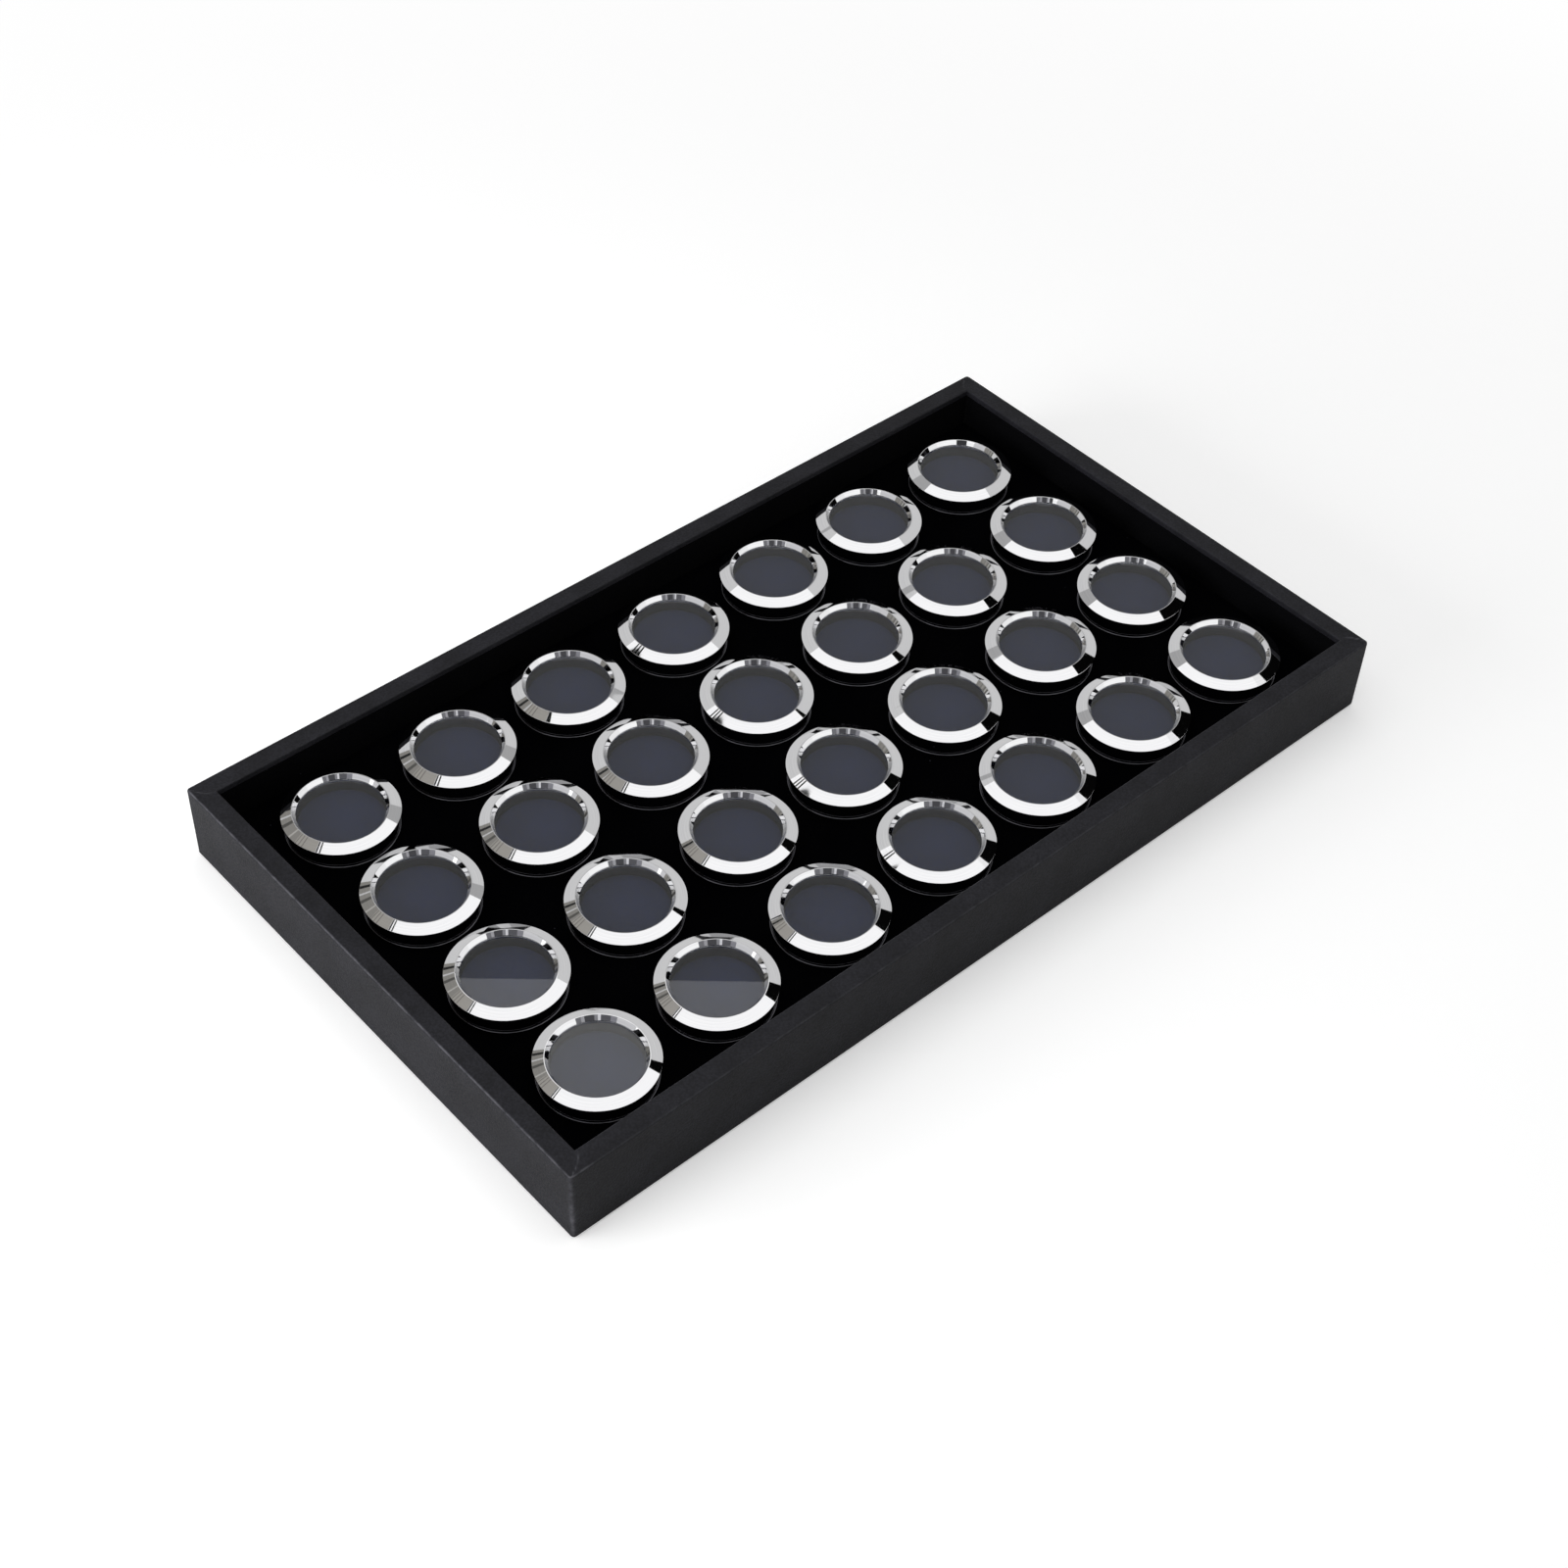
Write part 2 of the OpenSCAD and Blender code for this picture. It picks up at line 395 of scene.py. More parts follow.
@dataclass
class Surface:
    """A closed surface: points in millimetres, faces by corner count, and what they carry."""

    points: Array
    faces: list[Array]
    uv: list[Array] = field(default_factory=list)
    marks: dict[str, Array] = field(default_factory=dict)

    def volume(self) -> float:
        """Returns the volume that the faces close in, which is negative if they point inwards.

        Each face is cut into triangles from its first corner, and the volume is a sixth of the sum
        of the triple products of the triangles' corners.
        """
        total = 0.0
        for faces in self.faces:
            a = self.points[faces[:, 0]]
            for k in range(1, faces.shape[1] - 1):
                b, c = self.points[faces[:, k]], self.points[faces[:, k + 1]]
                total += float(np.einsum("ij,ij->", a, np.cross(b, c))) / 6
        return total

    def mesh(self, name: str) -> bpy.types.Mesh:
        """Puts the surface into a mesh in metres, with its faces pointing outwards."""
        turn = -1 if self.volume() < 0 else 1
        faces = [f[:, ::turn] for f in self.faces]
        made = bpy.data.meshes.new(name)
        made.from_pydata(self.points * MM, [], [row for f in faces for row in f.tolist()])
        if self.uv:
            layer = made.uv_layers.new(name="UVMap")
            corners = [u[:, ::turn].reshape(-1, 2) for u in self.uv]
            layer.data.foreach_set("uv", np.concatenate(corners).ravel())
        for mark, values in self.marks.items():
            attribute = made.attributes.new(mark, "FLOAT", "POINT")
            attribute.data.foreach_set("value", values.astype(np.float32))
        made.shade_smooth()
        return made


def smooth(values: Array, low: float, high: float) -> Array:
    """Returns 0 below low and 1 above high, eased between them by 3t squared less 2t cubed."""
    t = np.clip((values - low) / (high - low), 0, 1)
    return t * t * (3 - 2 * t)


def filleted(corners: Sequence[Point], steps: int = 5, hold: float = 0.03,
             closed: bool = True) -> Array:
    """Rounds the corners of a profile.

    At a corner of turn a and radius r, the arc starts r tan(a/2) before the corner, and its points
    are start + r sin(t) along the way in + r (1 - cos t) to the side that it turns to, for t from 0
    to a. A point held just outside each end of the arc keeps the flat beside it flat to the eye.

    Args:
        corners: The profile's corners as (across, up, fillet radius), in order.
        steps: The number of steps in each arc.
        hold: How far outside the arc the held points lie.
        closed: True if the last corner joins the first.

    Returns:
        The rounded profile, one (across, up) row for each point.
    """
    place = np.array([c[:2] for c in corners], float)
    out = []
    last = len(corners) - 1
    for i, (_, _, radius) in enumerate(corners):
        if radius <= 0 or (not closed and i in (0, last)):
            out.append(place[i:i + 1])
            continue
        way_in = place[i] - place[i - 1]
        way_out = place[(i + 1) % len(corners)] - place[i]
        reach = min(np.linalg.norm(way_in), np.linalg.norm(way_out))
        way_in, way_out = way_in / np.linalg.norm(way_in), way_out / np.linalg.norm(way_out)
        turn = math.acos(float(np.clip(way_in @ way_out, -1, 1)))
        radius = min(radius, 0.47 * reach / math.tan(turn / 2))
        side = way_out - (way_out @ way_in) * way_in
        side /= np.linalg.norm(side)
        start = place[i] - radius * math.tan(turn / 2) * way_in
        t = np.linspace(0, turn, steps + 1)[:, None]
        arc = start + radius * np.sin(t) * way_in + radius * (1 - np.cos(t)) * side
        out += [start[None] - hold * way_in, arc, arc[-1:] + hold * way_out]
    return np.concatenate(out)


def subdivided(profile: Array, pitch: float, closed: bool = True) -> Array:
    """Returns the profile with points added so that no step is longer than pitch."""
    ends = np.roll(profile, -1, axis=0) if closed else profile[1:]
    starts = profile if closed else profile[:-1]
    counts = np.maximum(1, np.ceil(np.linalg.norm(ends - starts, axis=1) / pitch - EPS)).astype(int)
    which = np.repeat(np.arange(len(counts)), counts)
    share = (np.arange(len(which)) - np.repeat(np.cumsum(counts) - counts, counts)) / counts[which]
    made = starts[which] + share[:, None] * (ends - starts)[which]
    return made if closed else np.concatenate([made, profile[-1:]])


def grid_faces(rows: int, columns: int, close_rows: bool, close_columns: bool) -> Array:
    """Returns the four corners of each face of a grid whose points are numbered row by row."""
    i, j = np.meshgrid(np.arange(rows if close_rows else rows - 1),
                       np.arange(columns if close_columns else columns - 1), indexing="ij")
    i, j = i.ravel(), j.ravel()
    i1, j1 = (i + 1) % rows, (j + 1) % columns
    here, above = i * columns, i1 * columns
    return np.stack([here + j, above + j, above + j1, here + j1], axis=1)


def fan(hub: int, ring: Array, outwards: bool) -> Array:
    """Returns the triangles that join a hub point to each step of a closed ring of points."""
    after = np.roll(ring, -1)
    pair = (ring, after) if outwards else (after, ring)
    return np.stack([np.full(len(ring), hub), *pair], axis=1)


def capped(points: Array, faces: Array, hubs: Array, rings: Sequence[Array],
           outwards: bool) -> Surface:
    """Closes the two open ends of a grid of points, each with a fan about a hub.

    Args:
        points: The grid's points.
        faces: Its faces.
        hubs: The two hub points.
        rings: The numbers of each end's points, in the same order round.
        outwards: True if the first fan runs along its ring, as the second then runs against it.

    Returns:
        The closed surface.
    """
    fans = [fan(len(points) + k, rings[k], outwards is (k == 0)) for k in (0, 1)]
    return Surface(np.concatenate([points, hubs]), [faces, np.concatenate(fans)])


def uv_corners(*corners: tuple[Array, Array]) -> Array:
    """Returns the UV map of some faces from each corner's two rows of places."""
    return np.stack([np.stack(corner, 1) for corner in corners], axis=1)


def revolved(profile: Array, centre: Array, turns: int, closed: bool) -> Surface:
    """Turns a profile about an upright axis.

    A point at radius r and height z goes to centre + (r cos t, r sin t, z) for t once round. The
    UV map holds t as a share of a turn and the length along the profile in millimetres. An open
    profile starts and ends on the axis, where the faces meet in one point.

    Args:
        profile: (radius, height) rows.
        centre: The axis's x and y.
        turns: The number of steps round.
        closed: True for a ring, whose profile closes on itself.

    Returns:
        The closed surface.
    """
    ring = profile if closed else profile[1:-1]
    t = np.arange(turns) / turns * 2 * np.pi
    r, z = ring[:, :1], ring[:, 1:]
    x, y = centre[0] + r * np.cos(t), centre[1] + r * np.sin(t)
    points = np.stack([x, y, z + 0 * t], axis=-1).reshape(-1, 3)
    rows = len(ring)
    quads = grid_faces(rows, turns, closed, True)
    along = np.concatenate([[0], np.cumsum(np.linalg.norm(np.diff(ring, axis=0), axis=1))])
    i, j = quads[:, 0] // turns, quads[:, 0] % turns
    u0, u1 = j / turns, (j + 1) / turns
    v0 = along[i]
    v1 = np.where(i + 1 < rows, along[(i + 1) % rows], along[-1] + 1.0)
    faces = [quads]
    uv = [uv_corners((u0, v0), (u0, v1), (u1, v1), (u1, v0))]
    if not closed:
        j = np.arange(turns)
        low, high = len(points), len(points) + 1
        points = np.concatenate([points, [[*centre, profile[0, 1]], [*centre, profile[-1, 1]]]])
        faces.append(np.concatenate([fan(low, j, True), fan(high, (rows - 1) * turns + j, False)]))
        start, mid, end = j / turns, (j + 0.5) / turns, (j + 1) / turns
        v_low, v_high = np.zeros(turns), np.full(turns, along[-1])
        uv.append(np.concatenate([uv_corners((mid, v_low), (start, v_low), (end, v_low)),
                                  uv_corners((mid, v_high), (end, v_high), (start, v_high))]))
    return Surface(points, faces, uv)


def merged(surfaces: Sequence[Surface], tidy: int = 4) -> Surface:
    """Joins surfaces into one, where points that agree to tidy decimals become one point."""
    starts = np.cumsum([0, *(len(s.points) for s in surfaces)])
    points = np.concatenate([s.points for s in surfaces])
    _, first, where = np.unique(np.round(points, tidy), axis=0, return_index=True,
                                return_inverse=True)
    where = where.reshape(-1)
    faces = [where[f + start] for s, start in zip(surfaces, starts) for f in s.faces]
    return Surface(points[first], faces)


def box_mm(node: str) -> tuple[Array, Array]:
    """Returns the lowest and highest corner of a CAD node, in millimetres."""
    low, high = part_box(node)
    return np.array(low) / MM, np.array(high) / MM


def place_piece(name: str, surface: Surface, material: Material, body: str,
                slot: Slot, nodes: Sequence[str]) -> bpy.types.Object:
    """Makes one piece of the object from a surface, and ties it to the frame.

    Args:
        name: The piece's name.
        surface: Its closed surface.
        material: Its finish.
        body: The CAD body that it moves with.
        slot: The record's slot for its finish; not used.
        nodes: The CAD nodes that it stands for.

    Returns:
        The piece.
    """
    piece = stand(name, surface.mesh(name))
    piece.data.materials.append(material)
    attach(piece, body)
    if nodes:
        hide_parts(*nodes)
    log.info("%s: %d faces on %s", name, len(piece.data.polygons), body)
    return piece


# ---------------------------------------------------------------- the tray


@dataclass
class RoundedPlan:
    """A rectangle about the origin with round corners, walked once round anticlockwise."""

    half_x: float
    half_y: float
    radius: float
    least: float = 0.25
    across: int = 96
    along: int = 150
    arc: int = 8
    near: float = 0.3

    def stations(self, count: int) -> Array:
        """Returns places from -1 to 1 along a side, crowded towards its ends.

        They are sin(a) / sin(b) for a from -b to b, so the last steps are much the shortest.
        """
        b = 0.5 * math.pi * (1 - self.near / 10)
        return np.sin(np.linspace(-b, b, count)) / math.sin(b)

    def walk(self, inset: Array) -> tuple[Array, Array, Array]:
        """Walks round the plan at each inset from its edge.

        A side runs between the ends of its two corner arcs. An arc's radius is the plan's less the
        inset, and at least a small one, so that inner corners are all but sharp.

        Args:
            inset: One inset for each line that is walked.

        Returns:
            The x and y of each point, one row for each inset, and the outward direction there.
        """
        d = inset[:, None]
        r = np.maximum(self.radius - d, self.least)
        hx, hy = self.half_x - d - r, self.half_y - d - r
        long_side, short_side = self.stations(self.along), self.stations(self.across)
        xs, ys, nx, ny = [], [], [], []
        corner_x, corner_y = (1, 1, -1, -1), (-1, 1, 1, -1)
        for k in range(4):
            turn = math.pi / 2 * (k - 1)
            share = (long_side, short_side)[k % 2]
            ahead = np.array([-math.sin(turn), math.cos(turn)])
            out = np.array([math.cos(turn), math.sin(turn)])
            reach = np.abs(ahead[0]) * hx + np.abs(ahead[1]) * hy
            stand = np.abs(out[0]) * (hx + r) + np.abs(out[1]) * (hy + r)
            xs.append(out[0] * stand + ahead[0] * reach * share)
            ys.append(out[1] * stand + ahead[1] * reach * share)
            nx.append(np.broadcast_to(out[0], xs[-1].shape))
            ny.append(np.broadcast_to(out[1], ys[-1].shape))
            t = turn + np.linspace(0, math.pi / 2, self.arc + 1)[1:-1]
            xs.append(corner_x[k] * hx + r * np.cos(t))
            ys.append(corner_y[k] * hy + r * np.sin(t))
            nx.append(np.broadcast_to(np.cos(t), xs[-1].shape))
            ny.append(np.broadcast_to(np.sin(t), ys[-1].shape))
        place = np.stack([np.concatenate(xs, 1), np.concatenate(ys, 1)], axis=-1)
        return place, np.concatenate(nx, 1), np.concatenate(ny, 1)


@dataclass
class LeatheretteCover:
    """The wrap: up the outer sides, over the rim, down inside, and folded under the tray."""

    thick: float = 0.8
    wall: float = 7.6
    turned_over: float = 2.5
    folded_under: float = 12.0
    edge_round: float = 0.95
    rim_round: float = 0.7
    foot_round: float = 0.9
    corner_round: float = 1.4
    lap: float = 0.3
    lap_reach: float = 11.0
    lap_bow: float = 2.2
    knock_height: float = 12.0
    knock_spread: float = 7.0

    def profile(self, low: float, high: float) -> Array:
        """Returns the wrap's section as (inset, height) rows, its outer face first."""
        inner, under, t = self.wall, self.folded_under, self.thick
        hem = high - self.turned_over
        rows = [
            (under, low, 0.15), (0.0, low, self.foot_round), (0.0, high, self.edge_round),
            (inner, high, self.rim_round), (inner, hem, 0.15), (inner - t, hem, 0.15),
            (inner - t, high - t, 0.1), (t, high - t, 0.1), (t, low + t, 0.1),
            (under, low + t, 0.15),
        ]
        return subdivided(filleted(rows, steps=6), 1.4)

    def surface(self, low: Array, high: Array) -> Surface:
        """Sweeps the section round the tray's plan.

        The outer face then moves along its own direction by a sum of long, shallow waves, as paper
        does over board. At each corner one end of the wrap laps over the other: the rim is lower by
        most of the lap's thickness on one side of a line that bows from the outer corner to the
        inner one.

        Args:
            low: The CAD cover's lowest corner.
            high: Its highest corner.

        Returns:
            The closed surface, with a mark of how pale its folds are: rubbing and a painted
            highlight.
        """
        section = self.profile(low[2], high[2])
        plan = RoundedPlan(high[0], high[1], self.corner_round)
        place, nx, ny = plan.walk(section[:, 0])
        x, y = place[..., 0], place[..., 1]
        inset, z = section[:, :1] + 0 * x, section[:, 1:] + 0 * x

        # Only the faces that show move: side marks the outer one, and top the rim.
        outer = inset < 0.35
        top = smooth(z, high[2] - 0.35, high[2] - 0.02) * (inset < self.wall + 0.1)
        side = smooth(z, low[2] + 2, low[2] + 6) * smooth(-z, -high[2] + 1.0, -high[2] + 5) * outer
        s = np.where(np.abs(nx) > np.abs(ny), y, x)
        waves = (0.55 * np.sin(s / 17 + 1.3 * nx + z / 21)
                 + 0.3 * np.sin(s / 7.3 + 2.1 * ny - z / 9) + 0.15 * np.sin(s / 3.1 + z / 4))
        push = 0.07 * side * waves
        x, y = x + nx * push, y + ny * push
        z = z + 0.05 * top * waves * smooth(inset, 0.8, 2.0)

        # The lap: a and b are the ways from the corner along the rim and across it.
        gap_x, gap_y = high[0] - np.abs(place[..., 0]), high[1] - np.abs(place[..., 1])
        along_x = np.sign(place[..., 0]) * np.sign(place[..., 1]) > 0
        a, b = np.where(along_x, gap_x, gap_y), np.where(along_x, gap_y, gap_x)
        bow = self.lap_bow * np.sin(np.pi * np.clip(b / self.wall, 0, 1))
        line = a - b - bow
        fade = smooth(-np.hypot(gap_x, gap_y), -self.lap_reach, -self.lap_reach * 0.5)
        lift = self.lap * smooth(line, -0.18, 0.18) * fade
        lift = lift * smooth(np.maximum(gap_x, gap_y), 0.0, 1.2)
        z = z - top * (self.lap - lift) * fade * 0.9
        wear_and_highlight = self.wear_and_highlight(place, inset, z, low, high)
        # The lap's line is drawn paler as well, added to the same mark.
        crease = np.exp(-((line / 0.35) ** 2)) * fade * top
        marks = {"wear_and_highlight": np.clip(wear_and_highlight + 0.3 * crease, 0, 1).ravel()}
        points = np.stack([x, y, z], axis=-1).reshape(-1, 3)
        return Surface(points, [grid_faces(*x.shape, True, True)], [], marks)

    def wear_and_highlight(self, place: Array, inset: Array, z: Array, low: Array, high: Array) -> Array:
        """Returns how pale the wrap is drawn, from 0 to 1: rubbing, and a painted highlight.

        The folds are rubbed, each as a bell round its fold, the top outer fold most along the left
        side, and the inner fold and the upright folds a little. Along the left side that pale is
        mostly a painted highlight of the light from the left on the rounded fold. The near left
        upright fold is rubbed most, as a bell round the height of the knocks.
        """
        x, y = place[..., 0], place[..., 1]
        fold = np.exp(-(((inset - 0.28) / 0.3) ** 2) - (((z - high[2] + 0.28) / 0.34) ** 2))
        inner = np.exp(-(((inset - self.wall + 0.25) / 0.3) ** 2))
        inner = inner * smooth(z, high[2] - 0.6, high[2])
        gap = np.hypot(high[0] - np.abs(x), high[1] - np.abs(y))
        upright = np.exp(-((gap / 0.95) ** 2)) * smooth(z, low[2], low[2] + 3)
        left = smooth(-x, high[0] - 12, high[0] - 1)
        front = smooth(-y, high[1] - 12, high[1] - 1)
        knocked = np.exp(-(((z - self.knock_height) / self.knock_spread) ** 2))
        near = left * front * (0.25 + 0.6 * knocked)
        # The 0.38 along the left side is a painted highlight on the top outer fold; the rest is
        # rubbing.
        rub_and_highlight = fold * (0.05 + 0.38 * left + 0.07 * front) + 0.05 * inner + upright * (0.06 + near)
        return np.clip(rub_and_highlight, 0, 1)

    def build(self, material: Material) -> None:
        """Makes the cover's piece."""
        low, high = box_mm("leatherette_cover")
        place_piece("leatherette_wrap", self.surface(low, high), material, "tray", Slot.LEATHERETTE,
                    ["leatherette_cover"])


@dataclass
class VelvetInsert:
    """The insert: foam underlay, a velvet faced layer with round pockets, and four wall linings."""

    pitch_x: float
    pitch_y: float
    columns: int
    rows: int
    pocket: float = 17.1
    depth: float = 5.6
    lining: float = 0.75
    gap: float = 0.3
    seam: float = 0.05
    edge_round: float = 1.1
    per_side: int = 24
    rings: int = 9

    def relief(self, x: Array, y: Array) -> Array:
        """Returns the small rise and fall of the velvet's face: a sum of three slow waves."""
        return (0.10 * np.sin(x / 13.0 + y / 31.0) + 0.07 * np.sin(y / 9.0 - x / 27.0 + 1.0)
                + 0.04 * np.sin(x / 4.3 + 2.0) * np.sin(y / 4.9))

    def cell(self, centre: Array, top: float, bottom: float) -> Surface:
        """Makes one jar's cell: the face round its pocket, the pocket's wall and the back.

        The face goes from the pocket's circle to the cell's rectangle: a point is the circle's
        times (1 - t) plus the rectangle's times t. Near the pocket the face rolls down over a
        quarter circle, and below that the wall goes straight to the back.
        """
        hx, hy, n = self.pitch_x / 2, self.pitch_y / 2, self.per_side
        step = np.linspace(-1, 1, n + 1)[:-1]
        rim = self.border(hx, hy, hx * step, hy * step)
        angle = np.arctan2(rim[:, 1] / hy, rim[:, 0] / hx)
        circle = self.pocket * np.stack([np.cos(angle), np.sin(angle)], 1)
        r = self.edge_round
        a = np.linspace(0, math.pi / 2, 6)
        roll_out, roll_down = r * (1 - np.cos(a)), r * (1 - np.sin(a))
        t_roll = roll_out / (hx - self.pocket)
        t = np.concatenate([[1, 0.5, 0, 0, 0], t_roll,
                            np.linspace(t_roll[-1], 1, self.rings)[1:]])[:, None]
        z = np.concatenate([[bottom, bottom, bottom, bottom + 1.6, top - r - 1.2],
                            top - roll_down, np.full(self.rings - 1, top)])[:, None] + 0 * t
        x, y = np.moveaxis(centre + (1 - t)[..., None] * circle + t[..., None] * rim, -1, 0)
        face = smooth(z, top - r - 0.2, top)
        z = z + face * self.relief(x, y) * smooth(t, 0.02, 0.3)
        points = np.stack([x, y, z + 0 * x], axis=-1).reshape(-1, 3)
        return Surface(points, [grid_faces(*x.shape, False, True)])

    def margin(self, half: Array, top: float, bottom: float) -> Surface:
        """Makes the border between the cells and the insert's edge, with the edge rolled down.

        A point is the block's edge times (1 - t) plus the insert's edge times t, and the roll at
        the end is a quarter circle. The points round it match those of the cells.
        """
        hx, hy, n = self.pitch_x / 2, self.pitch_y / 2, self.per_side
        step = np.linspace(-1, 1, n + 1)[:-1]
        xs, ys = (np.add.outer(self.centres(count, 2 * reach), reach * step).ravel()
                  for count, reach in ((self.columns, hx), (self.rows, hy)))
        bx, by = self.columns * hx, self.rows * hy
        rim = self.border(bx, by, xs, ys)
        edge = rim * half / np.array([bx, by])
        r = self.edge_round
        a = np.linspace(0, math.pi / 2, 6)
        flat = np.linspace(1, 0, 4)[:-1] * (half[1] - by - r) + r
        inward = np.concatenate([flat, r * (1 - np.sin(a)), [0, 0, 0]])
        drop = np.concatenate([[0, 0, 0], r * (1 - np.cos(a)), [2.2, 4.2, top - bottom]])
        t = 1 - inward[:, None] / (half[1] - by)
        x, y = np.moveaxis((1 - t)[..., None] * rim + t[..., None] * edge, -1, 0)
        z = top - drop[:, None] + 0 * x
        z = z + self.relief(x, y) * smooth(z, top - r - 0.2, top)
        back = np.stack([rim[:, 0], rim[:, 1], np.full(len(rim), bottom)], 1)[None]
        points = np.concatenate([np.stack([x, y, z], axis=-1), back]).reshape(-1, 3)
        return Surface(points, [grid_faces(len(t) + 1, len(rim), False, True)])

    @staticmethod
    def border(bx: float, by: float, xs: Array, ys: Array) -> Array:
        """Returns points on a rectangle's four sides, anticlockwise from its right side."""
        sides = ((bx + 0 * ys, ys), (-xs, by + 0 * xs), (-bx + 0 * ys, -ys), (xs, -by + 0 * xs))
        return np.concatenate([np.stack(side, 1) for side in sides])

    @staticmethod
    def centres(count: int, pitch: float) -> list[float]:
        """Returns the places of count cells in a row about 0."""
        return [(k - (count - 1) / 2) * pitch for k in range(count)]

    def layer(self, half: Array, top: float, bottom: float) -> Surface:
        """Joins the cells and the margin into the pocketed layer."""
        cells = [self.cell(np.array([cx, cy]), top, bottom)
                 for cy in self.centres(self.rows, self.pitch_y)
                 for cx in self.centres(self.columns, self.pitch_x)]
        return merged([*cells, self.margin(half, top, bottom)])

    @staticmethod
    def slab(half: Array, low: float, high: float, rounding: float) -> Surface:
        """Makes a flat slab with soft edges: its plan shrinks along a rounded section.

        A ring at inset d and height z is the plan's outline moved in by d, and the rings close on
        a line in the middle.
        """
        plan = RoundedPlan(half[0], half[1], 3.0, least=0.4, across=40, along=60, arc=6, near=1.5)
        middle = half[1] - 1.0
        rows = [(middle, low, 0), (0.0, low, rounding), (0.0, high, rounding), (middle, high, 0)]
        section = subdivided(filleted(rows, steps=4, closed=False), 8.0, closed=False)
        place, _, _ = plan.walk(section[:, 0])
        count = place.shape[1]
        heights = np.broadcast_to(section[:, 1:, None], (len(section), count, 1))
        points = np.concatenate([place, heights], axis=-1)
        rings = [row * count + np.arange(count) for row in (0, len(section) - 1)]
        return capped(points.reshape(-1, 3), grid_faces(len(section), count, False, True),
                      np.array([[0.0, 0.0, low], [0.0, 0.0, high]]), rings, True)

    def strip(self, length: float, low: float, high: float, out: float, turn: float) -> Surface:
        """Makes one wall lining: a rounded section carried straight along its wall.

        The section is (distance from the wall, height), and a point at s along the wall is the
        section's turned to face the tray's middle. Its ends are closed by a fan.
        """
        rows = [(0.0, low, 0), (0.0, high, 0.25), (self.lining, high, 0.35), (self.lining, low, 0)]
        section = subdivided(filleted(rows, steps=4), 1.5)
        s = np.linspace(-length / 2, length / 2, int(length / 2.2))
        d, z = section[:, :1] + 0 * s, section[:, 1:] + 0 * s
        body = smooth(d, 0.2, self.lining) * smooth(high - z, 0.2, 2.0)
        d = d + body * 0.04 * (np.sin(s / 9.0 + z / 5.0 + turn) + 0.6 * np.sin(s / 3.7 - z / 3.0))
        c, sn = math.cos(turn), math.sin(turn)
        x, y = c * s - sn * (d - out), sn * s + c * (d - out)
        n = len(s)
        points = np.stack([x, y, z], axis=-1).reshape(-1, 3)
        rings = [np.arange(len(section)) * n + column for column in (0, n - 1)]
        hubs = np.stack([points[ring].mean(0) for ring in rings])
        return capped(points, grid_faces(len(section), n, True, False), hubs, rings, False)

    def build(self, velvet: Material, lining: Material, foam: Material) -> None:
        """Makes the layer, its underlay and the four linings."""
        low, high = box_mm("jar_insert")
        _, lid_high = box_mm("jar_a1_lid")
        top = lid_high[2] - JarSizes().top
        bottom = top - self.depth
        half = high[:2] - self.lining - self.gap
        tie = ("tray", Slot.VELVET, ["jar_insert"])
        layer = place_piece("velvet_insert", self.layer(half, top, bottom), velvet, *tie)
        slab = self.slab(half, low[2], bottom - self.seam, 0.8)
        under = place_piece("foam_underlay", slab, foam, *tie)
        right = math.pi / 2
        walls = (("front", 0.0, 0), ("right", right, 1), ("back", math.pi, 0), ("left", -right, 1))
        for name, turn, short in walls:
            out = high[1 - short]
            length = 2 * high[short] - (2 * (self.lining + self.seam) if short else 0.0)
            strip = self.strip(length, low[2], high[2], out, turn)
            piece = place_piece(f"velvet_lining_{name}", strip, lining, *tie)


@dataclass
class BaseFelt:
    """The felt sheet under the tray, with its corners cut round."""

    def build(self, felt: Material) -> None:
        """Makes the sheet."""
        low, high = box_mm("base_sheet")
        sheet = VelvetInsert.slab(high[:2], low[2], high[2], 0.35)
        piece = place_piece("felt_base_sheet", sheet, felt, "tray", Slot.FELT, ["base_sheet"])


# ---------------------------------------------------------------- the jars


@dataclass
class JarSizes:
    """A jar's radii, and its heights above the insert's face, in millimetres."""

    cup: float = 15.8
    cup_wall: float = 0.9
    flange: float = 19.9
    flange_thick: float = 0.6
    skirt_in: float = 17.0
    skirt_out: float = 19.4
    skirt_foot: float = 1.0
    bezel: float = 20.5
    bezel_edge: float = 0.6
    window: float = 15.4
    rim_in: float = 16.4
    rim: float = 16.7
    seat: float = 16.2
    top: float = 9.1
    bevel: float = 1.7
    chamfer: float = 1.6
    lip: float = 0.2
    glass: float = 0.8
    clip: float = 0.8
    pad: float = 15.6
    coin: float = 4.2
    below: float = 5.4

    @property
    def glass_top(self) -> float:
        """The height of the glass's upper face."""
        return self.top - self.chamfer - self.lip

    @property
    def glass_foot(self) -> float:
        """The height of the glass's lower face."""
        return self.glass_top - self.glass

    @property
    def cup_top(self) -> float:
        """The height of the cup's mouth."""
        return self.glass_foot - self.clip

    @property
    def pad_top(self) -> float:
        """The height of the foam pad's face."""
        return self.glass_foot - self.coin


@dataclass
class JarFinishes:
    """The finishes that all jars share."""

    cup: Material
    lid: Material
    clip: Material
    glass: Material
    pad: Material


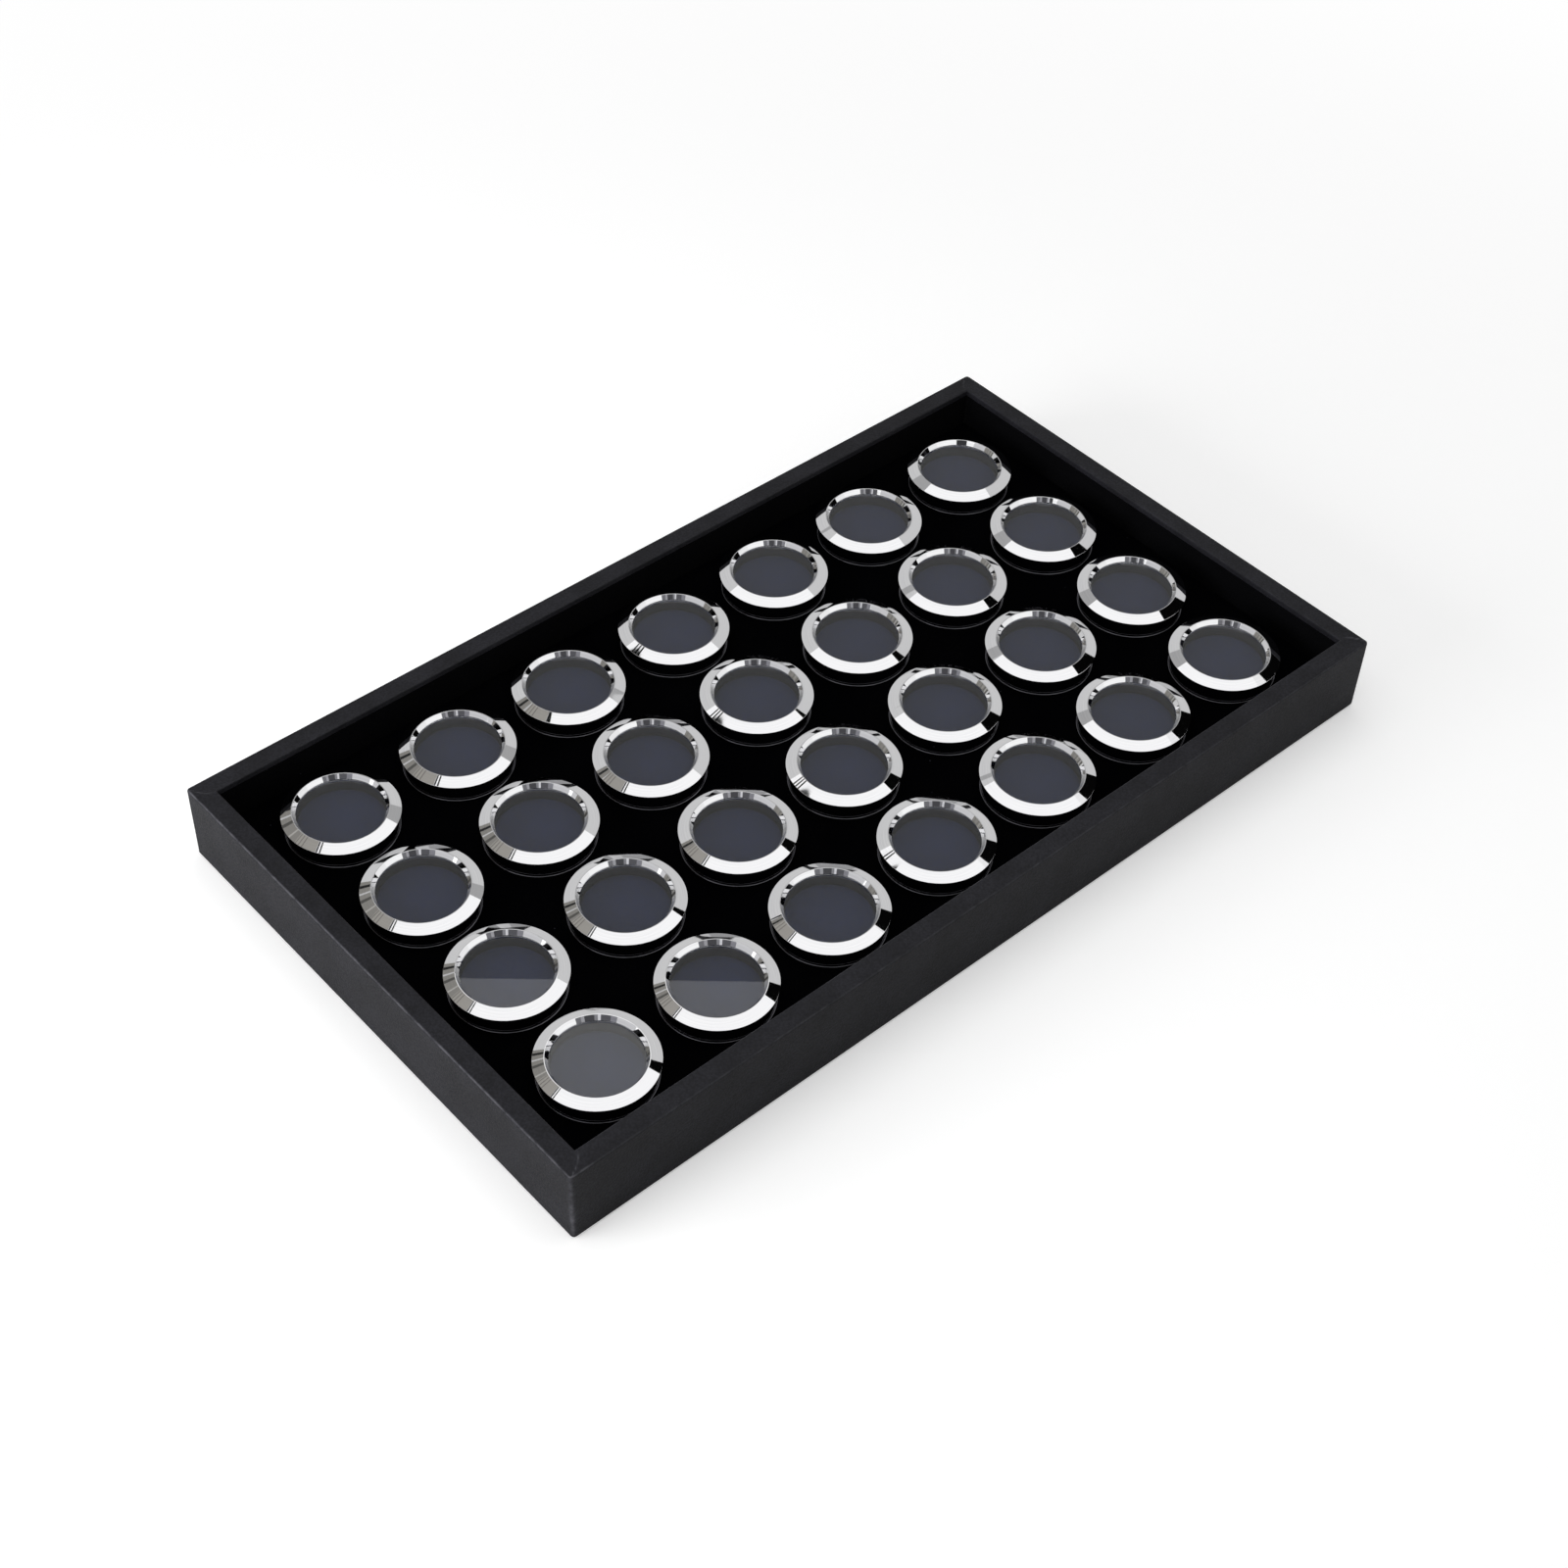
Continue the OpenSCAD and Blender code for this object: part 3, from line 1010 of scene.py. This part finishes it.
@dataclass
class Jar:
    """One jar: a drawn cup with its foam pad, and a lid of bezel, glass and clip ring.

    Its name is its row's letter and its column's number.
    """

    name: str
    sizes: JarSizes = field(default_factory=JarSizes)
    turns: int = 112

    def ring(self, rows: Sequence[Point], centre: Array, face: float, pitch: float = 3.0,
             closed: bool = True, steps: int = 5) -> Surface:
        """Turns a profile given above the insert's face, with its fillets, about the jar's axis."""
        profile = subdivided(filleted(rows, steps=steps, closed=closed), pitch, closed)
        profile[:, 1] += face
        return revolved(profile, centre, self.turns, closed)

    def cup(self, centre: Array, face: float) -> Surface:
        """Makes the cup: drawn floor and wall, a rolled mouth, and a flange with a beaded edge."""
        s = self.sizes
        out, floor = s.cup + s.cup_wall, -s.below
        inside = floor + s.cup_wall
        rows = [
            (0.0, floor, 0), (out, floor, 1.1), (out, 0.0, 0.25), (s.flange, 0.0, 0.28),
            (s.flange, s.flange_thick, 0.3), (out, s.flange_thick, 0.35),
            (out, s.cup_top, 0.35), (s.cup, s.cup_top, 0.35), (s.cup, inside, 0.9),
            (0.0, inside, 0),
        ]
        return self.ring(rows, centre, face, closed=False)

    def pad(self, centre: Array, face: float) -> Surface:
        """Makes the pad: a crowned disc whose face falls by the radius's fourth power.

        Its side is pulled in a little at mid height, as foam is by its skin.
        """
        s = self.sizes
        low = 0.05 - s.below + s.cup_wall
        high = s.pad_top
        r = np.linspace(0, s.pad - 0.9, 14)
        crown = np.stack([r, high + 0.12 - 0.55 * (r / s.pad) ** 4], 1)
        edge_z = crown[-1, 1]
        a = np.linspace(0, math.pi / 2, 7)[1:]
        roll = np.stack([s.pad - 0.9 + 0.9 * np.sin(a), edge_z - 0.9 + 0.9 * np.cos(a)], 1)
        v = np.linspace(0, 1, 7)[1:-1]
        start = roll[-1, 1]
        side = np.stack([s.pad - 0.18 * np.sin(math.pi * v), start + (low + 0.4 - start) * v], 1)
        foot = np.array([[s.pad, low + 0.4], [s.pad - 0.12, low + 0.12], [s.pad - 0.4, low],
                         [s.pad * 0.5, low], [0.0, low]])
        profile = np.concatenate([crown, roll, side, foot])
        profile[:, 1] += face
        return revolved(profile[::-1], centre, self.turns, False)

    def bezel(self, centre: Array, face: float) -> Surface:
        """Makes the bezel: a bevel up to a narrow rim, a chamfer to the glass, and the skirt."""
        s = self.sizes
        lip, edge = s.window - 0.08, s.top - s.bevel
        rows = [
            (lip, s.top - s.chamfer, 0.07), (lip, s.glass_top, 0.04), (s.seat, s.glass_top, 0.04),
            (s.seat, s.cup_top, 0.05), (s.skirt_in, s.cup_top, 0.1),
            (s.skirt_in, s.skirt_foot, 0.2), (s.skirt_out, s.skirt_foot, 0.3),
            (s.skirt_out, edge - s.bezel_edge, 0.12), (s.bezel, edge - s.bezel_edge, 0.14),
            (s.bezel, edge, 0.12), (s.rim, s.top, 0.12), (s.rim_in + 0.06, s.top, 0.1),
        ]
        return self.ring(rows, centre, face, pitch=2.2)

    def clip(self, centre: Array, face: float) -> Surface:
        """Makes the ring that keeps the glass in, with soft edges."""
        s = self.sizes
        inner, outer = s.window + 0.1, s.seat - 0.05
        rows = [(inner, s.cup_top, 0.2), (outer, s.cup_top, 0.12), (outer, s.glass_foot, 0.08),
                (inner, s.glass_foot, 0.1)]
        return self.ring(rows, centre, face, steps=4)

    def glass(self, centre: Array, face: float) -> Surface:
        """Makes the glass: a flat disc with a ground edge."""
        s = self.sizes
        edge = s.seat - 0.1
        low, high = s.glass_foot + 0.05, s.glass_top - 0.05
        rows = [(0.0, low, 0), (edge, low, 0.12), (edge, high, 0.12), (0.0, high, 0)]
        return self.ring(rows, centre, face, pitch=4.0, closed=False, steps=3)

    def build(self, finishes: JarFinishes) -> None:
        """Makes the jar's pieces on its two bodies."""
        low, high = box_mm(f"jar_{self.name}_cup")
        _, lid_high = box_mm(f"jar_{self.name}_lid")
        centre = (low[:2] + high[:2]) / 2
        face = lid_high[2] - self.sizes.top
        cup, lid = f"jar_{self.name}", f"jar_{self.name}_lid"
        nodes, lid_nodes = [f"{cup}_cup"], [lid]
        for part, shape, finish, body, slot, stands_for in (
            ("metal_cup", self.cup, finishes.cup, cup, Slot.CUP_METAL, nodes),
            ("foam_pad", self.pad, finishes.pad, cup, Slot.FOAM, nodes),
            ("bezel", self.bezel, finishes.lid, lid, Slot.LID_METAL, lid_nodes),
            ("clip_ring", self.clip, finishes.clip, lid, Slot.LID_METAL, lid_nodes),
            ("glass", self.glass, finishes.glass, lid, Slot.GLASS, lid_nodes),
        ):
            surface = shape(centre, face)
            piece = place_piece(f"{body}_{part}", surface, finish, body, slot, stands_for)


# ---------------------------------------------------------------- studio


@dataclass
class Card:
    """A flat card that only mirrors see: its corners in metres and how bright it is."""

    name: str
    corners: Sequence[Point]
    colour: str
    strength: float = 1.0

    def build(self) -> None:
        """Makes the card, hidden from the camera, from shadows and from soft light."""
        card, tree = self.stage(self.name, self.corners, self.name)
        glow = add(tree, "Emission", {"Color": self.colour, "Strength": self.strength})
        add(tree, "OutputMaterial", {"Surface": glow.outputs[0]})
        card.visible_camera = card.visible_diffuse = False
        card.visible_shadow = card.visible_volume_scatter = False

    @staticmethod
    def stage(name: str, corners: Sequence[Point], finish: str) -> tuple[bpy.types.Object, Tree]:
        """Makes a flat piece of the stage, and returns it with its material's empty tree."""
        mesh = bpy.data.meshes.new(name)
        mesh.from_pydata(list(corners), [], [list(range(len(corners)))])
        piece = stand(name, mesh)
        material = bpy.data.materials.new(finish)
        mesh.materials.append(material)
        return piece, fresh_tree(material)


@dataclass
class Studio:
    """A light tent on a pale floor, with the lamps, the cards and the camera."""

    camera_place: Point = (-0.4423, -0.4639, 0.6448)
    camera_turn: Point = (44.5961, -1.7094, -41.4726)
    lens: float = 57.914
    tent: float = 0.45
    roof: float = 0.55
    grey: float = 0.68
    shade: float = 0.42
    white: float = 1.14
    fill: float = 0.4
    tape: float = 0.012
    below: float = 0.0002

    def camera(self) -> None:
        """Makes the camera: place in metres, turn in degrees about X, then Y, then Z."""
        data = bpy.data.cameras.new("camera")
        data.lens, data.sensor_width = self.lens, 36.0
        data.clip_start, data.clip_end = 0.02, 20.0
        camera = stand("camera", data)
        camera.location = self.camera_place
        camera.rotation_euler = [math.radians(a) for a in self.camera_turn]
        bpy.context.scene.camera = camera

    def world(self) -> None:
        """Makes the world: white to the camera, to mirrors and through glass, and dim elsewhere."""
        world = bpy.data.worlds.new("studio_white")
        bpy.context.scene.world = world
        tree = fresh_tree(world)
        rays = add(tree, "LightPath").outputs
        beyond = combine("MAXIMUM", rays["Is Glossy Ray"], rays["Is Transmission Ray"])
        seen = combine("MAXIMUM", rays["Is Camera Ray"], beyond)
        values = {"Value": seen, "To Min": self.fill, "To Max": 1.0}
        strength = add(tree, "MapRange", values).outputs[0]
        sky = add(tree, "Background", {"Color": "#ffffff", "Strength": strength})
        add(tree, "OutputWorld", {"Surface": sky.outputs[0]})

    def floor(self) -> None:
        """Makes the pale floor, which keeps the tray's shadow and is white beyond it."""
        half = 3.0
        corners = [(-half, -half, 0), (half, -half, 0), (half, half, 0), (-half, half, 0)]
        floor, tree = Card.stage("floor", corners, "floor_pale")
        floor.location.z = -self.below
        paper = add(tree, "BsdfDiffuse", {"Color": "#e6e6e6"})
        glow = add(tree, "Emission", {"Color": "#ffffff", "Strength": 0.35})
        lit = add(tree, "AddShader", {0: paper.outputs[0], 1: glow.outputs[0]}).outputs[0]
        white = add(tree, "Emission", {"Color": "#ffffff"}).outputs[0]
        place = add(tree, "TexCoord").outputs["Object"]
        reach = add(tree, "VectorMath", {0: place}, operation="LENGTH").outputs["Value"]
        away = ramp(reach, 0.24, 0.75)
        faded = add(tree, "MixShader", {0: away, 1: lit, 2: white}).outputs[0]
        seen = add(tree, "LightPath").outputs["Is Camera Ray"]
        mixed = add(tree, "MixShader", {0: seen, 1: paper.outputs[0], 2: faded})
        add(tree, "OutputMaterial", {"Surface": mixed.outputs[0]})

    def lamp(self, name: str, place: Point, aim: Point, size: Spot, watts: float) -> None:
        """Makes one soft lamp that mirrors don't see, aimed at a point."""
        data = bpy.data.lights.new(name, "AREA")
        data.shape, data.size, data.size_y, data.energy = "RECTANGLE", *size, watts
        lamp = stand(name, data)
        lamp.location = place
        away = np.array(place) - np.array(aim)
        lamp.rotation_mode = "QUATERNION"
        lamp.rotation_quaternion = Vector(away.tolist()).to_track_quat("Z", "Y")
        lamp.visible_glossy = lamp.visible_transmission = False

    def cards(self) -> None:
        """Makes the tent that the metal mirrors.

        It has grey walls, a white roof with a taped seam, a warm panel at the back left, a white
        corner at the front right with a dark gap beside it, and the dark opening that the camera
        looks through, with a few paler things in it.
        """
        w, h, wide, jog, front = self.tent, self.roof, self.tape, 0.004, -0.65
        self.tent_walls(1.4, 1.2)
        lit = ((-0.9, -0.9), (w, -0.9), (w, 0.043), (-0.15, 0.563), (-0.15, 0.19), (-0.9, 0.19))
        Card("roof_light", [(*place, h) for place in lit], "#ffffff", self.white).build()
        self.level("camera_opening", (-0.66, -0.7), (-0.27, -0.3), 0.01, "#3a3a3c")
        beyond = ((w, 0.043), (0.7, 0.17), (0.7, 0.64), (0.04, 0.64), (0.04, 0.398))
        Card("roof_beyond", [(*place, h) for place in beyond], "#ffffff", self.shade).build()
        self.upright("left_panel", (-0.155, w), (-0.9, w), "#8c8a85")
        folds = ((-0.175, 0.016, "#2c2c2c"), (-0.22, 0.01, "#c9c9c9"), (-0.26, 0.02, "#5a5956"),
                 (-0.34, 0.012, "#b3b1ac"), (-0.4, 0.02, "#6b6a66"), (-0.56, 0.02, "#706e6a"))
        for x, width, shade in folds:
            self.upright(f"left_fold_{x}", (x, w - jog), (x - width, w - jog), shade)
        self.level("left_roof", (-0.9, 0.195), (-0.155, w), 0.0, "#a3a09a")
        for k, near in enumerate((0.0, 0.024)):
            x, y = -0.15 - near, 0.19 - near
            self.level(f"seam_tape_long_{k}", (x - wide, y), (x, w + 0.1), jog, "#0a0a0a")
            self.level(f"seam_tape_cross_{k}", (-0.9, y - wide), (x, y), jog, "#0a0a0a")
        for k, y in enumerate((0.33, 0.375, 0.42)):
            self.level(f"seam_bar_{k}", (-0.15, y), (-0.105, y + 0.02), 0.006, "#0a0a0a")
            self.level(f"left_bar_{k}", (-0.5, y), (-0.162, y + 0.01), 0.006, "#6f6c67")
        self.upright("right_gap", (w, -0.2), (w, -0.045), "#050505")
        self.upright("right_panel", (w, front), (w, -0.2), "#ffffff")
        self.upright("front_panel", (-0.126, front), (w, front), "#ffffff", 0.03, 0.42, 1.1)
        opening = ((-0.126, front, "#77777b"), (-0.22, -0.57, "#a4a4a8"), (-0.27, -0.53, "#4c4c4f"),
                   (-0.39, -0.43, "#8a8a8e"), (-0.43, -0.40, "#dcdce0"), (-0.46, -0.37, "#5c5c60"),
                   (-0.58, -0.27, "#8a8a90"), (-0.68, -0.19, "#dadade"))
        for k, ((x0, y0, colour), (x1, y1, _)) in enumerate(zip(opening, opening[1:])):
            self.upright(f"opening_{k}", (x0, y0), (x1, y1), colour, high=0.5)
        self.upright("left_wall", (-0.7, -0.18), (-0.7, w), "#d6d6d8")
        self.upright("left_strobe", (-0.69, 0.2), (-0.69, 0.29), "#ffffff", 0.0, 0.2, 1.6)

    def level(self, name: str, near: Spot, far: Spot, drop: float, colour: str) -> None:
        """Makes a level card under the roof, drop metres down, between two corners of its plan."""
        (x0, y0), (x1, y1), z = near, far, self.roof - drop
        Card(name, [(x0, y0, z), (x1, y0, z), (x1, y1, z), (x0, y1, z)], colour).build()

    def upright(self, name: str, start: Spot, end: Spot, colour: str, low: float = 0.0,
                high: float | None = None, strength: float = 1.0) -> None:
        """Makes an upright card between two places on the plan, as high as the roof or as given."""
        (x0, y0), (x1, y1), z = start, end, high or self.roof
        corners = [(x0, y0, low), (x1, y1, low), (x1, y1, z), (x0, y0, z)]
        Card(name, corners, colour, strength).build()

    def tent_walls(self, far: float, high: float) -> None:
        """Makes the tent's four plain walls and its roof beyond the cards."""
        corner = [(-far, -far), (far, -far), (far, far), (-far, far)]
        for k in range(4):
            self.upright(f"tent_wall_{k}", corner[k], corner[(k + 1) % 4], "#ffffff", high=high,
                         strength=self.grey)
        Card("tent_roof", [(x, y, high) for x, y in corner], "#ffffff", self.grey).build()

    def build(self) -> None:
        """Makes the lamps, the cards, the floor and the world."""
        self.world()
        self.floor()
        self.lamp("roof_lamp", (0.0, 0.0, 1.1), (0.0, 0.0, 0.0), (1.2, 1.2), 5.0)
        self.lamp("left_lamp", (-1.0, 0.25, 0.3), (-0.1, 0.0, 0.0), (0.8, 0.5), 9.5)
        self.cards()
        view = bpy.context.scene.view_settings
        view.view_transform = "Standard"


# ---------------------------------------------------------------- the whole


def main() -> None:
    """Makes the camera, the tray, its insert and its jars, and the studio round them."""
    logging.basicConfig(level=logging.INFO, format="%(name)s: %(message)s")
    studio = Studio()
    studio.camera()

    frame["nodes"]["tray_boards"].data.materials.clear()
    frame["nodes"]["tray_boards"].data.materials.append(GreyBoard().build())
    LeatheretteCover().build(GrainedLeatherette().build())

    names = sorted(body.removeprefix("jar_") for body in frame["bodies"]
                   if body.startswith("jar_") and not body.endswith("_lid"))
    columns, rows = max(int(n[1:]) for n in names), len({n[0] for n in names})
    first, last = (sum(box_mm(f"jar_{n}_cup"))[:2] / 2 for n in (names[0], names[-1]))
    pitch_x, pitch_y = (last - first) / (columns - 1, rows - 1)
    velvet = FlockedVelvet().build()
    lining = FlockedVelvet("velvet_flocked_wall", "#060607", "#0b0b0d", sheen=0.01).build()
    underlay = CellFoam("foam_sponge_black", "#0e0e10", "#030303", cell=1.2, depth=0.15).build()
    VelvetInsert(pitch_x, pitch_y, columns, rows).build(velvet, lining, underlay)
    BaseFelt().build(Felt().build())

    finishes = JarFinishes(
        # The cup's steel is given a dark grey, painted shade for the dark under the bezel, so its
        # flange glints only faintly.
        cup=PolishedSteel("steel_drawn_painted_shade", "#626266", "#58585c", roughness=0.12).build(),
        lid=PolishedSteel("steel_spun_mirror").build(),
        clip=PolishedSteel("steel_wire_satin", roughness=0.16).build(),
        glass=WindowGlass().build(),
        pad=CellFoam("foam_die_cut_slate", "#0a1636", "#09132f", cell=2.4, depth=0.008).build(),
    )
    for name in names:
        Jar(name).build(finishes)
    studio.build()


if __name__ == "__main__":
    main()
